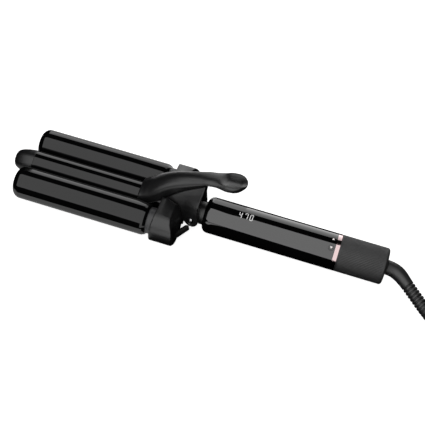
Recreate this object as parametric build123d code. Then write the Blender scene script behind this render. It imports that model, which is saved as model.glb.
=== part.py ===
from build123d import *
import math
import os

os.makedirs("parts", exist_ok=True)

# Three-barrel hair waver, millimetres, +Z up.
# Modelling frame: X runs along the handle axis towards the lead, the handle
# axis is y = 0, z = 0, and the hinge pin crosses it at x = PIN_X.
# write() moves everything so that the surface the waver lies on is z = 0 and
# the middle of the waver (without its lead) is x = 0.

# ---------------------------------------------------------------- dimensions
HANDLE_R = 14.15          # handle shell and trim ring
HANDLE_WALL = 2.0
HANDLE_X0 = 9.6           # front end of the handle
HANDLE_X1 = 111.3         # handle shell ends, trim ring starts
RING_X1 = 114.3           # trim ring ends, grip starts
GRIP_R = 14.1
GRIP_X1 = 151.1           # rear face of the grip
FRONT_ROUND = 4.8         # rounding of the handle's front edge

NECK_R = 9.1              # neck between handle and centre barrel
NECK_BORE = 7.6
CENTRE_R = 10.0           # centre barrel
OUTER_R = 12.5            # outer barrels, 25 mm
BARREL_WALL = 1.2
PITCH_Y = 23.5            # outer barrels beside the centre barrel
OUTER_X0 = -135.5         # closed ends of the outer barrels
OUTER_X1 = -28.3          # rear ends of the outer barrels
CENTRE_X0 = -130.0        # the cool tip starts here
CENTRE_X1 = -24.0
TIP_X0 = -146.2           # end of the cool tip

COLLAR_R = 10.25          # ceramic collar between outer barrel and bracket
SOCKET_R = 14.4           # brackets, round the outer barrels
SOCKET_X0 = -23.8
SOCKET_X1 = -5.3
REST_Z = -HANDLE_R        # surface that the waver lies on

PIN_X = 1.2               # hinge pin
PIN_R = 2.0
PIN_HALF = 13.5
CHEEK_IN = 10.0
CHEEK_OUT = 13.8

CONTROL_TURN = 22.0       # display and buttons sit this far round from the lever
BUTTON_X = 108.2
BUTTON_Y = 3.42
BUTTON_R = 2.1
BUTTON_FLANGE = 2.7
DISPLAY_X0, DISPLAY_X1 = 33.4, 49.0

CORD_D = 6.8
CORD_R = CORD_D / 2
RELIEF_R0 = 5.65          # smooth root of the strain relief
RELIEF_R1 = 4.75          # ribbed length of the strain relief
COIL_C = (254.9, -24.6)   # middle of the put-away coil
COIL_R = (34.5, 41.5, 48.5)
TURN_PITCH = 7.0
COIL_LIFT = 0.9           # the tie under the coil is this thick

XC = (TIP_X0 + GRIP_X1) / 2


def write(solids, name):
    """One STEP per node, moved to the part's own frame."""
    if isinstance(solids, (list, tuple)):
        flat = []
        for s in solids:
            flat += list(s.solids())
    else:
        flat = list(solids.solids())
    moved = [Pos(-XC, 0, -REST_Z) * s for s in flat]
    shape = moved[0] if len(moved) == 1 else Compound(children=moved)
    shape.label = name
    export_step(shape, f"parts/{name}.step")
    return shape


def rod_x(r, x0, x1, y=0.0, z=0.0):
    return Pos(x0, y, z) * Rot(0, 90, 0) * Cylinder(r, x1 - x0, align=(Align.CENTER, Align.CENTER, Align.MIN))


def rod_y(r, y0, y1, x=0.0, z=0.0):
    return Pos(x, y0, z) * Rot(-90, 0, 0) * Cylinder(r, y1 - y0, align=(Align.CENTER, Align.CENTER, Align.MIN))


def rod_z(r, z0, z1, x=0.0, y=0.0):
    return Pos(x, y, z0) * Cylinder(r, z1 - z0, align=(Align.CENTER, Align.CENTER, Align.MIN))


def block(x0, x1, y0, y1, z0, z1):
    return Pos((x0 + x1) / 2, (y0 + y1) / 2, (z0 + z1) / 2) * Box(x1 - x0, y1 - y0, z1 - z0)


def tube_x(ro, ri, x0, x1, y=0.0, z=0.0):
    return rod_x(ro, x0, x1, y, z) - rod_x(ri, x0 - 1, x1 + 1, y, z)


def mirror_y(s):
    return mirror(s, about=Plane.XZ)


def section(x, pts):
    """Closed wire through (y, z) points in the plane of constant x."""
    return make_face(Polyline(*[Vector(x, y, z) for y, z in pts], close=True))


def skin(sections):
    """Straight-ruled solid through matching sections."""
    return Solid.make_loft([s.faces()[0].outer_wire() for s in sections], ruled=True)


def one(shape):
    """The largest solid of a result that should be one solid."""
    return sorted(shape.solids(), key=lambda s: s.volume)[-1]


TURN = Rot(CONTROL_TURN, 0, 0)

# ------------------------------------------------------------- handle shell
body = rod_x(HANDLE_R, HANDLE_X0, HANDLE_X1)
body = fillet(body.edges().filter_by(GeomType.CIRCLE).sort_by(Axis.X)[0], FRONT_ROUND)
room = rod_x(HANDLE_R - HANDLE_WALL, HANDLE_X0 + 2.6, HANDLE_X1 + 1)
room = fillet(room.edges().filter_by(GeomType.CIRCLE).sort_by(Axis.X)[0], 2.6)
handle_shell = body - room - rod_x(NECK_R + 0.05, HANDLE_X0 - 1, HANDLE_X0 + 4)
for side in (-1, 1):
    handle_shell -= TURN * rod_z(BUTTON_R + 0.12, 8, 16, BUTTON_X, side * BUTTON_Y)
write(one(handle_shell), "handle_shell")

# ------------------------------------------------------------------ chassis
front_block = rod_x(11.9, 14.9, 24.0) - rod_x(NECK_R + 0.02, 14, 25)
cradle = (rod_x(11.9, 24.0, 110.0) - rod_x(10.2, 23.0, 111.0)) - block(23, 111, -13, 13, -2.0, 13)
rear_block = rod_x(11.9, 112.2, 118.0) - rod_x(5.0, 112, 119)
rails = (rod_x(11.9, 109.5, 113.0) - rod_x(10.2, 109, 114)) - block(109, 114, -13, 13, -2.0, 13)
chassis = front_block + cradle + rear_block + rails
for x in (30.0, 100.0):
    post = rod_z(2.4, -10.6, 2.9, x, 0)
    chassis += post
    chassis -= rod_z(0.8, -3.0, 3.5, x, 0)
chassis = TURN * chassis
write(one(chassis), "chassis")

# ------------------------------------------------------------ control board
board = block(27.0, 111.0, -7.5, 7.5, 3.0, 4.6)
for x in (30.0, 100.0):
    board -= rod_z(1.1, 2, 6, x, 0)
write(one(TURN * board), "control_board")

screws = []
for x in (30.0, 100.0):
    s = rod_z(0.78, -2.5, 4.7, x, 0) + rod_z(1.7, 4.65, 5.8, x, 0)
    s -= block(x - 1.3, x + 1.3, -0.25, 0.25, 5.3, 6)
    screws.append(one(TURN * s))
write(screws, "board_screws")

display = block(DISPLAY_X0, DISPLAY_X1, -4.2, 4.2, 4.65, 11.0)
write(one(TURN * display), "display_module")

relay = block(56.0, 70.0, -6.0, 6.0, 4.65, 9.4) + block(74.0, 84.0, -5.5, 5.5, 4.65, 8.4)
write([TURN * s for s in relay.solids()], "power_parts")

switches = []
for side in (-1, 1):
    y = side * BUTTON_Y
    s = block(BUTTON_X - 2.2, BUTTON_X + 2.2, y - 2.2, y + 2.2, 4.65, 7.6) + rod_z(0.9, 7.5, 8.8, BUTTON_X, y)
    switches.append(one(TURN * s))
write(switches, "tact_switches")

# ------------------------------------------------------------------ buttons
for side, name in ((1, "up_button"), (-1, "down_button")):
    y = side * BUTTON_Y
    cap = rod_z(BUTTON_R, 9.6, 16.0, BUTTON_X, y) & rod_x(HANDLE_R + 0.12, BUTTON_X - 4, BUTTON_X + 4)
    cap += rod_z(BUTTON_FLANGE, 9.5, 10.2, BUTTON_X, y)
    write(one(TURN * cap), name)

# ---------------------------------------------------------------- trim ring
write(tube_x(HANDLE_R, 12.25, HANDLE_X1, RING_X1), "trim_ring")

# ----------------------------------------------------------------- end grip
grip = rod_x(GRIP_R, RING_X1, GRIP_X1)
grip = fillet(grip.edges().filter_by(GeomType.CIRCLE).sort_by(Axis.X)[-1], 1.8)
grip -= rod_x(12.1, RING_X1 - 1, GRIP_X1 - 2.6)
grip -= rod_x(4.2, GRIP_X1 - 4, GRIP_X1 + 1)
write(one(grip), "end_grip")

bush = rod_x(7.6, GRIP_X1 - 6.0, GRIP_X1 - 2.65) + rod_x(4.15, GRIP_X1 - 3, GRIP_X1)
bush -= rod_x(2.6, GRIP_X1 - 7, GRIP_X1 + 1)
write(one(bush), "swivel_bush")

# --------------------------------------------------- neck and centre barrel
neck = rod_x(NECK_R, CENTRE_X1, 24.0) + rod_x(CENTRE_R - BARREL_WALL - 0.03, CENTRE_X1 - 9.0, CENTRE_X1 + 0.5)
neck -= rod_x(NECK_BORE, CENTRE_X1 - 10.0, 25.0)
neck -= rod_y(PIN_R + 0.01, -12, 12, PIN_X, 0)
neck -= block(2.4, 9.4, 3.3, 6.1, 5.0, 10.0)          # slot for the spring's free leg
for side in (-1, 1):
    neck -= Pos(0.8, side * 5.2, -8.2) * Rot(side * -38, 0, 0) * rod_z(1.7, -4.5, 4.5)
write(one(neck), "neck")

centre = rod_x(CENTRE_R, CENTRE_X0, CENTRE_X1) - rod_x(CENTRE_R - BARREL_WALL, CENTRE_X0 - 1, CENTRE_X1 + 1)
write(one(centre), "centre_barrel")

# cool tip: a blunt nose with a spigot inside the barrel
nose = [(TIP_X0, 0), (TIP_X0, 5.0), (-145.4, 6.0), (-143.6, 7.3), (-141.0, 8.3), (-137.5, 9.2), (-133.8, 9.75), (CENTRE_X0 - 0.05, CENTRE_R)]
with BuildSketch() as tip_sk:
    with BuildLine():
        Polyline(*nose[:2])
        Spline(*nose[1:])
        Polyline(nose[-1], (CENTRE_X0 - 0.05, 8.75), (-122.0, 8.75), (-122.0, 6.8), (CENTRE_X0 - 1.5, 6.8), (CENTRE_X0 - 1.5, 0), nose[0])
    make_face()
tip = revolve(tip_sk.sketch, Axis.X, 360)
write(one(tip), "cool_tip")


def heater(y, r_in, x0, x1, name):
    """Ceramic heating bar between two half-round aluminium blocks."""
    plate = block(x0, x1, y - 4.4, y + 4.4, -1.1, 1.1)
    write(one(plate), f"{name}_heater")
    halves = []
    for side in (-1, 1):
        h = rod_x(r_in - 0.05, x0 + 2, x1 - 2, y, 0) & block(x0, x1, y - r_in, y + r_in, 1.15, r_in + 1)
        h -= rod_x(2.2, x0, x1, y, 5.6)
        if side < 0:
            h = Pos(0, y, 0) * Rot(180, 0, 0) * Pos(0, -y, 0) * h
        halves.append(one(h))
    write(halves, f"{name}_heat_blocks")


heater(0.0, CENTRE_R - BARREL_WALL, -118.0, -40.0, "centre")

# ------------------------------------------------------------- outer barrels
for side, name in ((-1, "front"), (1, "back")):
    y = side * PITCH_Y
    tube = rod_x(OUTER_R, OUTER_X0, OUTER_X1, y)
    tube = fillet(tube.edges().filter_by(GeomType.CIRCLE).sort_by(Axis.X)[0], 6.0)
    tube -= revolve(make_face(Polyline(*[Vector(x, y + r, 0) for x, r in (
        (OUTER_X1 - 3.6, 14.0), (OUTER_X1 - 3.6, OUTER_R), (OUTER_X1 - 2.0, 12.25), (OUTER_X1 - 0.9, 11.8),
        (OUTER_X1, 11.35), (OUTER_X1 + 1, 11.35), (OUTER_X1 + 1, 14.0))], close=True)), Axis((0, y, 0), (1, 0, 0)), 360)
    void = rod_x(OUTER_R - BARREL_WALL, OUTER_X0 + 1.4, OUTER_X1 - 3.0, y) + rod_x(COLLAR_R + 0.03, OUTER_X1 - 4, OUTER_X1 + 1, y)
    void = fillet(void.edges().filter_by(GeomType.CIRCLE).sort_by(Axis.X)[0], 4.8)
    write(one(tube - void), f"{name}_barrel")
    heater(y, OUTER_R - BARREL_WALL, -124.0, -44.0, name)
    # collar: a flange inside the barrel, a waist that shows, a spigot in the bracket
    collar = rod_x(OUTER_R - BARREL_WALL - 0.03, OUTER_X1 - 10, OUTER_X1 - 3.05, y) + rod_x(COLLAR_R, OUTER_X1 - 4, -13.2, y)
    collar -= rod_x(7.5, OUTER_X1 - 11, -12, y)
    write(one(collar), f"{name}_collar")

# -------------------------------------------------------------------- lever
# A hood over the centre barrel that narrows to an arch and ends in a thumb paddle.
# x, half width, bottom of the sides, top of the sides, rise of the arch, its power,
# depth of the thumb dish, height of the underside's middle, thickness of the sides
LEVER = [
    (-42.6, 11.3, 3.7, 4.7, 8.4, 2.0, 0.0, 11.0, 1.3),
    (-40.0, 11.3, 3.7, 5.3, 9.7, 2.0, 0.0, 12.9, 1.4),
    (-36.0, 11.3, 3.9, 7.3, 11.3, 2.0, 0.0, 15.5, 1.5),
    (-32.0, 11.2, 4.8, 10.9, 11.0, 2.0, 0.0, 18.2, 1.7),
    (-28.0, 10.7, 6.9, 15.0, 9.9, 2.0, 0.0, 20.9, 1.9),
    (-24.0, 9.9, 9.6, 18.8, 8.7, 2.0, 0.0, 23.0, 2.0),
    (-20.0, 9.2, 13.8, 21.7, 8.0, 2.0, 0.0, 25.2, 2.0),
    (-16.0, 8.65, 17.8, 24.0, 7.6, 2.0, 0.0, 27.2, 2.0),
    (-12.0, 8.25, 21.0, 26.0, 7.25, 2.0, 0.0, 28.9, 2.0),
    (-8.0, 7.9, 23.8, 27.85, 6.85, 2.0, 0.0, 30.4, 2.0),
    (-4.0, 7.6, 26.3, 29.65, 6.35, 2.05, 0.0, 31.7, 2.0),
    (0.0, 7.35, 28.7, 31.4, 5.8, 2.1, 0.0, 33.0, 2.0),
    (4.0, 7.15, 31.1, 33.1, 5.15, 2.2, 0.0, 34.2, 2.0),
    (8.0, 7.1, 33.6, 34.8, 4.3, 2.4, 0.0, 35.4, 2.0),
    (12.0, 7.35, 35.3, 35.9, 3.9, 2.5, 0.0, 36.4, 2.0),
    (16.0, 7.8, 36.1, 36.8, 3.8, 2.5, 0.2, 36.8, 2.0),
    (20.0, 8.75, 36.3, 37.8, 3.75, 2.6, 1.7, 36.6, 1.8),
    (24.0, 9.7, 36.6, 38.9, 3.4, 2.6, 3.5, 36.6, 1.8),
    (28.0, 9.8, 37.2, 39.4, 3.3, 2.6, 3.6, 37.0, 1.8),
    (32.0, 8.5, 37.8, 40.1, 2.9, 2.6, 3.0, 37.8, 1.6),
    (35.0, 5.7, 38.8, 40.9, 1.7, 2.4, 1.5, 38.9, 1.4),
    (36.9, 2.4, 39.7, 41.0, 0.7, 2.2, 0.3, 40.0, 0.7),
]


def lever_at(x):
    for a, b in zip(LEVER, LEVER[1:]):
        if a[0] <= x <= b[0]:
            f = (x - a[0]) / (b[0] - a[0])
            return tuple(p + (q - p) * f for p, q in zip(a, b))
    return LEVER[0] if x < LEVER[0][0] else LEVER[-1]


def inner_spring(row):
    """Half width and height at which the underside's arch springs from the sides."""
    x, w, zb, zo, rise, power, dish, zu, side = row
    return w - side - 0.3, (min(zo, zu - 1.0) if x < 6 else zb + (zu - zb) * 0.3)


def lever_section(row):
    x, w, zb, zo, rise, power, dish, zu, side = row
    half = [(w, zb), (w, zo)]
    for a in (15, 30, 45, 60, 75, 90):
        f = math.cos(math.radians(a)) ** (2 / power) if a < 90 else 0.0
        g = math.sin(math.radians(a)) ** (2 / power)
        half.append((w * f, zo + rise * g - dish * max(0.0, 1 - (f / 0.8) ** 2)))
    wi, zi = inner_spring(row)
    under = [(w - side, zb), (wi, zi)]
    for a in (30, 60, 90):
        under.append((wi * math.cos(math.radians(a)) if a < 90 else 0.0, zi + (zu - zi) * math.sin(math.radians(a))))
    ring = [(-y, z) for y, z in half] + [(y, z) for y, z in reversed(half[:-1])]
    ring += [(y, z) for y, z in under] + [(-y, z) for y, z in reversed(under[:-1])]
    return section(x, ring)


lever = skin([lever_section(row) for row in LEVER])
LEVER_SCREW_X = (-14.0, -1.0)
for x in LEVER_SCREW_X:
    row = lever_at(x)
    lever -= rod_z(0.85, row[7] - 2.0, row[3] + row[4] - 1.4, x, 0)
write(one(lever), "lever")

# ----------------------------------------------------------- clamp brackets


def bracket_outline(x, ridge):
    """Round the barrel, with a ridge at the top that meets the yoke's side."""
    def r(a):
        return SOCKET_R + (0.7 * math.cos(math.radians((a - 130) * 1.8)) ** 2 if abs(a - 130) < 50 else 0)

    pts = [(-PITCH_Y + r(a) * math.cos(math.radians(a)), r(a) * math.sin(math.radians(a))) for a in range(110, 361, 10)]
    pts = [(min(y, -12.05), max(z, REST_Z)) for y, z in pts if y < -12.0 or z < 0]
    pts += [(-12.05, 2.0), (-12.05, ridge - 1.6), (-14.4, ridge)]
    out = []
    for q in pts:
        if not out or math.dist(q, out[-1]) > 0.05:
            out.append(q)
    return section(x, out)


# the ridge falls towards the rear; the front face leans back; the rear is cut away
bracket = skin([bracket_outline(x, z) for x, z in ((SOCKET_X0 - 0.4, 17.5), (-21.6, 17.6), (-18.9, 18.2), (-11.5, 14.9), (SOCKET_X1, 14.9))])
lean = make_face(Polyline(*[Vector(x, -45, z) for x, z in ((-26, -20), (SOCKET_X0 - 0.4, -20), (SOCKET_X0 - 0.4, 6.0), (-23.4, 11.5), (-21.9, 18.6), (-21.9, 30), (-26, 30))], close=True))
fall = make_face(Polyline(*[Vector(x, -45, z) for x, z in ((-11.5, 15.0), (-10.5, 13.7), (-8.9, 10.8), (-7.2, 7.4), (-6.3, 4.2), (-5.5, 0.6), (-4, 0.6), (-4, 30), (-11.5, 30))], close=True))
for cut in (lean, fall):
    bracket = one(bracket - extrude(cut, amount=40, dir=(0, 1, 0)))
rim = bracket & (block(SOCKET_X0 - 1, SOCKET_X1 - 1.2, -40, 0, -20, 20) + rod_x(SOCKET_R - 1.2, SOCKET_X1 - 1.3, SOCKET_X1, -PITCH_Y))
bracket = one(rim)
bracket -= rod_x(COLLAR_R + 0.05, SOCKET_X0 - 1, -13.1, -PITCH_Y)
bracket -= rod_x(7.5, -13.5, -8.0, -PITCH_Y)                                  # wiring room behind the collar
sleeve_a, sleeve_b = Vector(-7.0, -27.4, -5.4), Vector(0.2, -14.9, -4.9)
sleeve_dir = (sleeve_b - sleeve_a).normalized()
sleeve_len = (sleeve_b - sleeve_a).length


def along(a, d, r, length):
    return Plane(origin=a, z_dir=d) * Cylinder(r, length, align=(Align.CENTER, Align.CENTER, Align.MIN))


bracket -= along(sleeve_a - sleeve_dir * 3.0, sleeve_dir, 2.65, 10)
for x, z in ((-18.5, 11.6), (-13.0, 10.6)):
    bracket -= rod_y(0.85, -19.0, -11.5, x, z)
front_bracket = one(bracket)
write(front_bracket, "front_bracket")
write(one(mirror_y(front_bracket)), "back_bracket")

# tapered wire sleeve with the thin wires that run on from it to the hinge
sleeve = Plane(origin=sleeve_a, z_dir=sleeve_dir) * Cone(2.6, 2.0, sleeve_len, align=(Align.CENTER, Align.CENTER, Align.MIN))
wire_a, wire_b = sleeve_b - sleeve_dir * 0.5, Vector(0.9, -14.3, -1.2)
sleeve += along(wire_a, (wire_b - wire_a).normalized(), 0.35, (wire_b - wire_a).length)
front_sleeve = one(sleeve)
write(front_sleeve, "front_wire_sleeve")
write(one(mirror_y(front_sleeve)), "back_wire_sleeve")

# --------------------------------------------------------------------- yoke


def roof_in(x):
    return max(lever_at(x)[2] - 2.7, 10.9)


def t2(t):
    return (1 - t) ** 2


def yoke_section(x, yo, shoulder):
    """Inverted U: cheeks, flanks that lean in to the lever's sides, a ridge inside the lever."""
    row = lever_at(x)
    w, zb, zu = row[1], row[2], row[7]
    wr, zr = inner_spring(row)
    wr, zr = wr - 0.12, max(zr, zb + 0.15)
    top = zb - 0.08
    knee = top - 1.9 * (yo - w)
    shoulder = min(shoulder, knee - 1.5)
    half = [(yo, -7.0), (yo, shoulder)]
    for t in (0.7, 0.45, 0.22):                       # flank: upright below, leaning in above
        half.append(((w - 0.1) * t2(t) + yo * (1 - t2(t)), top * t2(t) + knee * 2 * t * (1 - t) + shoulder * t * t))
    half += [(w - 0.1, top), (wr, top), (wr, zr)]
    half += [(wr * math.cos(math.radians(a)), zr + (zu - 0.15 - zr) * math.sin(math.radians(a))) for a in (30, 60)]
    half.append((0.0, zu - 0.15))
    zin = roof_in(x)
    wi = min(max(w - 2.6, 3.0), CHEEK_IN)
    low = min(shoulder, zin - 1.0)
    inner = [(CHEEK_IN, -7.0), (CHEEK_IN, low), (wi, zin), (wi * 0.5, zin + 0.05), (0.0, zin + 0.1)]
    ring = [(-y, z) for y, z in half] + [(y, z) for y, z in reversed(half[:-1])]
    ring += inner + [(-y, z) for y, z in reversed(inner[:-1])]
    return section(x, ring)


YOKE = [(-22.0, 11.9, 5.0), (-20.0, 11.9, 6.5), (-18.0, 11.9, 8.0), (-16.0, 11.9, 9.0), (-12.0, 11.9, 9.0), (-8.0, 11.9, 9.0),
        (-5.2, 11.95, 9.0), (-3.0, 12.35, 9.0), (0.0, 13.0, 9.0), (3.0, 13.5, 9.0), (6.0, CHEEK_OUT, 9.0), (8.4, CHEEK_OUT, 9.0)]
whole = skin([yoke_section(*row) for row in YOKE])
profile = make_face(Polyline(*[Vector(x, 0, z) for x, z in (
    (7.8, 40), (7.7, 31), (6.8, 24), (5.9, 17), (5.7, 10.5), (6.4, 5.5), (7.1, 1.5), (6.8, -1.5), (5.2, -3.8),
    (2.8, -5.0), (-0.4, -5.0), (-3.0, -3.7), (-4.4, -1.8), (-4.4, 40))], close=True))
cheeks = whole & extrude(profile, amount=20, dir=(0, 1, 0), both=True)
fore = whole & block(-22.0, -4.4, -12.5, 12.5, -6.8, 45)
yoke = fore + cheeks
yoke -= rod_y(PIN_R + 0.05, -15, 15, PIN_X, 0)
for side in (-1, 1):
    yoke -= rod_y(2.9, *sorted((side * 12.6, side * 15)), PIN_X, 0)
    for x, z in ((-18.5, 11.6), (-13.0, 10.6)):
        yoke -= rod_y(0.85, *sorted((side * 9.0, side * 12.5)), x, z)
for x in LEVER_SCREW_X:
    yoke -= rod_z(0.95, 8, 42, x, 0)
    yoke -= rod_z(2.0, 8, roof_in(x) + 1.9, x, 0)
write(one(yoke), "yoke")

screws = []
for x in LEVER_SCREW_X:
    row = lever_at(x)
    seat = roof_in(x) + 1.85
    s = rod_z(0.8, seat - 0.1, row[3] + row[4] - 1.5, x, 0) + rod_z(1.8, seat - 1.2, seat, x, 0)
    screws.append(one(s))
write(screws, "lever_screws")

screws = []
for side in (-1, 1):
    for x, z in ((-18.5, 11.6), (-13.0, 10.6)):
        screws.append(one(rod_y(0.8, *sorted((side * 9.95, side * 17.5)), x, z)))
write(screws, "bracket_screws")

# ------------------------------------------------------------- pin and spring
pin = rod_y(PIN_R, -12.5, 12.5, PIN_X, 0)
for side in (-1, 1):
    pin -= rod_y(0.95, *sorted((side * 7.5, side * 13)), PIN_X, 0)
write(one(pin), "hinge_pin")
screws = []
for side in (-1, 1):
    s = rod_y(0.9, *sorted((side * 8.0, side * 12.8)), PIN_X, 0) + rod_y(2.5, *sorted((side * 12.7, side * 13.6)), PIN_X, 0)
    s -= block(PIN_X - 1.8, PIN_X + 1.8, *sorted((side * 13.2, side * 14)), -0.3, 0.3)
    screws.append(one(s))
write(screws, "pin_screws")

SPRING_R, WIRE_R = 3.3, 0.55
coil_path = Helix(pitch=1.5, height=7.5, radius=SPRING_R)
coil_wire = sweep(Plane(origin=coil_path @ 0, z_dir=coil_path % 0) * Circle(WIRE_R), path=coil_path)
spring = Pos(PIN_X, 3.6, 0) * Rot(90, 0, 0) * coil_wire
write(one(spring), "clamp_spring")
# free leg of the spring, which turns with the clamp
leg_a, leg_b = Vector(PIN_X + 3.6, 4.9, 1.5), Vector(PIN_X + 1.2, 3.8, 26.0)
leg_dir = (leg_b - leg_a).normalized()
write(one(along(leg_a, leg_dir, WIRE_R, (leg_b - leg_a).length)), "spring_leg")

# --------------------------------------------------- strain relief and lead


def route_wire(points):
    """Straight runs joined by the largest tangent arcs that they allow."""
    vs = [Vector(*p) for p in points]
    radii = []
    for a, b, c in zip(vs, vs[1:], vs[2:]):
        turn = math.radians((b - a).get_angle(c - b))
        radii.append(0.45 * min((b - a).length, (c - b).length) / math.tan(turn / 2))
    return FilletPolyline(*vs, radius=radii), radii


def lead(points, r, name, bore=0.0):
    path, radii = route_wire(points)
    print(name, "arc radii", [round(q, 1) for q in radii], "length", round(path.length, 1))
    wire = path.wire() if hasattr(path, "wire") else path
    start = Plane(origin=path @ 0, z_dir=path % 0)
    solid = sweep(start * Circle(r), path=path)
    want = math.pi * r * r * path.length
    print(name, "volume over section times length", round(solid.volume / want, 4))
    return one(solid), path


RELIEF = [(GRIP_X1, 0, 0), (161.8, -0.1, -1.2), (185.4, -20.9, -9.1), (193.9, -29.6, -9.35)]
# smooth root, then the narrower ribbed length, both on one path
root, relief_path = lead(RELIEF, RELIEF_R1, "strain_relief")
thick, _ = lead([RELIEF[0], RELIEF[1], tuple(Vector(*RELIEF[1]) + (Vector(*RELIEF[2]) - Vector(*RELIEF[1])).normalized() * 11.6)], RELIEF_R0, "strain_relief_root")
relief = root + thick
relief -= block(GRIP_X1 - 5, GRIP_X1, -10, 10, -10, 10)
write(one(relief), "strain_relief")
relief_end = relief_path @ 1
relief_dir = relief_path % 1
print("relief end", tuple(round(v, 2) for v in relief_end), "direction", tuple(round(v, 3) for v in relief_dir), "length", round(relief_path.length, 1))

ZF = REST_Z + CORD_R + 0.05     # centre of a lead that lies on the surface
ENTRY_A = 227.9                 # where the lead joins the coil, degrees round it
Z1 = REST_Z + COIL_LIFT + CORD_R + 0.05
ea = math.radians(ENTRY_A)
entry = (COIL_C[0] + COIL_R[2] * math.cos(ea), COIL_C[1] + COIL_R[2] * math.sin(ea), Z1)
print("coil entry", entry)
LEAD = [tuple(relief_end), tuple(relief_end + relief_dir * 14.0), (211.4, -50.6, ZF), entry]
lead_solid, lead_path = lead(LEAD, CORD_R, "cord_tube")
write(lead_solid, "cord_tube")

coil_z0, coil_z1 = REST_Z + COIL_LIFT, REST_Z + COIL_LIFT + 2 * TURN_PITCH
coil = rod_z(COIL_R[2] + CORD_R + 0.1, coil_z0, coil_z1, *COIL_C) - rod_z(COIL_R[0] - CORD_R - 0.1, coil_z0 - 1, coil_z1 + 1, *COIL_C)
coil = one(fillet(coil.edges().filter_by(GeomType.CIRCLE), 2.6))
write(coil, "cord_coil")

# tail: leaves the coil's top layer, lies on the coil for most of a turn, then
# swings inwards a little more tightly, to the plug that lies on the coil
TAIL_Z = coil_z0 + 1.5 * TURN_PITCH
SWING_C = (250.0, -28.1)
TAIL = []
for deg, r, dz in ((62, 48.3, 0.4), (80, 47.8, 3.0), (98, 46.4, 5.6), (117, 45.6, 6.8), (137, 45.5, 7.0), (158, 45.7, 7.0),
                   (178, 45.4, 7.0), (197, 45.6, 7.0), (216, 45.3, 7.0)):
    a = math.radians(deg)
    TAIL.append((COIL_C[0] + r * math.cos(a), COIL_C[1] + r * math.sin(a), TAIL_Z + dz))
for deg, r, dz in ((237, 39.9, 7.0), (257, 40.1, 7.1), (277, 39.8, 7.7), (297, 40.0, 8.9), (317, 39.8, 10.8), (336, 39.7, 12.5)):
    a = math.radians(deg)
    TAIL.append((SWING_C[0] + r * math.cos(a), SWING_C[1] + r * math.sin(a), TAIL_Z + dz))
plug_start = TAIL[-1]
tail_solid, tail_path = lead(TAIL, CORD_R, "cord_tail")
write(tail_solid, "cord_tail")

# plug, two flat blades, lying on the coil
plug_dir = Vector(*(tail_path % 1))
flat_dir = Vector(plug_dir.X, plug_dir.Y, 0).normalized()
pl = Plane(origin=Vector(*plug_start), x_dir=(0, 0, 1), z_dir=tuple(flat_dir))
neck_p = pl * Cone(5.2, 6.6, 14.0, align=(Align.CENTER, Align.CENTER, Align.MIN))
grip_p = pl * Pos(0, 0, 13.5) * Box(15.0, 22.0, 21.0, align=(Align.CENTER, Align.CENTER, Align.MIN))
grip_p = fillet(grip_p.edges(), 2.4)
face_p = pl * Pos(0, 0, 32.0) * Box(17.6, 25.0, 5.0, align=(Align.CENTER, Align.CENTER, Align.MIN))
face_p = fillet(face_p.edges(), 1.6)
plug = one(neck_p + grip_p + face_p)
blades = []
for side in (-1, 1):
    b = pl * Pos(0, side * 6.35, 30.0) * Box(6.3, 1.5, 7.0 + 16.5, align=(Align.CENTER, Align.CENTER, Align.MIN))
    blades.append(b)
    plug -= b
write(one(plug), "plug_body")
write([one(b) for b in blades], "plug_blades")
seat = Vector(*plug_start) + flat_dir * 37.0
print("blades' seat", tuple(round(v, 3) for v in seat), "towards", tuple(round(v, 5) for v in flat_dir))

# tie round the coil's section
tie_a = math.radians(150)
tie_pl = Plane(origin=(COIL_C[0] + COIL_R[1] * math.cos(tie_a), COIL_C[1] + COIL_R[1] * math.sin(tie_a), (coil_z0 + coil_z1) / 2),
               x_dir=(math.cos(tie_a), math.sin(tie_a), 0), z_dir=(-math.sin(tie_a), math.cos(tie_a), 0))
half_w = (COIL_R[2] - COIL_R[0]) / 2 + CORD_R
tie = tie_pl * (Box(2 * half_w + 2.4, 2 * TURN_PITCH + 1.8, 9.0) - Box(2 * half_w + 1.0, 2 * TURN_PITCH + 0.05, 10.0))
write(one(tie), "cord_tie")

print("shift", -XC, -REST_Z)
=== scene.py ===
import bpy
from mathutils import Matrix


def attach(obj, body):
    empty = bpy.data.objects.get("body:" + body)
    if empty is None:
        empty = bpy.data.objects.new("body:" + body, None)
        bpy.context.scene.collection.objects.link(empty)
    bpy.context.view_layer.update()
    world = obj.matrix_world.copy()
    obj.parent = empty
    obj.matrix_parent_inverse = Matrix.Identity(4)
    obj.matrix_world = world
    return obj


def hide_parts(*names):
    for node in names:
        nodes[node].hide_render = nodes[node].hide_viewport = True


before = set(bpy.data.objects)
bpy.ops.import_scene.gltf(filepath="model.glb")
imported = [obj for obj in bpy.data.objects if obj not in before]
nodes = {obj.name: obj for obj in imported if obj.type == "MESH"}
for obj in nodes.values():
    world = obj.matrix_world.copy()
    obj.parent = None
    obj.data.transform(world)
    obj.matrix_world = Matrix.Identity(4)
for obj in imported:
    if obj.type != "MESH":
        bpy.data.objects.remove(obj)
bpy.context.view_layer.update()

import math

import bmesh
import bpy
from mathutils import Matrix, Vector

scene = bpy.context.scene

# The sizes below are millimetres in the waver's own modelling frame: X runs
# along the handle axis towards the lead, +Z is the lever's side, and the axis
# is y = 0, z = 0. S() moves a point into the shared frame, in metres.


def S(x, y, z):
    return Vector(((x - 2.45) / 1000, y / 1000, (z + 14.15) / 1000))


def smooth(s):
    s = min(1.0, max(0.0, s))
    return s * s * (3 - 2 * s)


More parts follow.
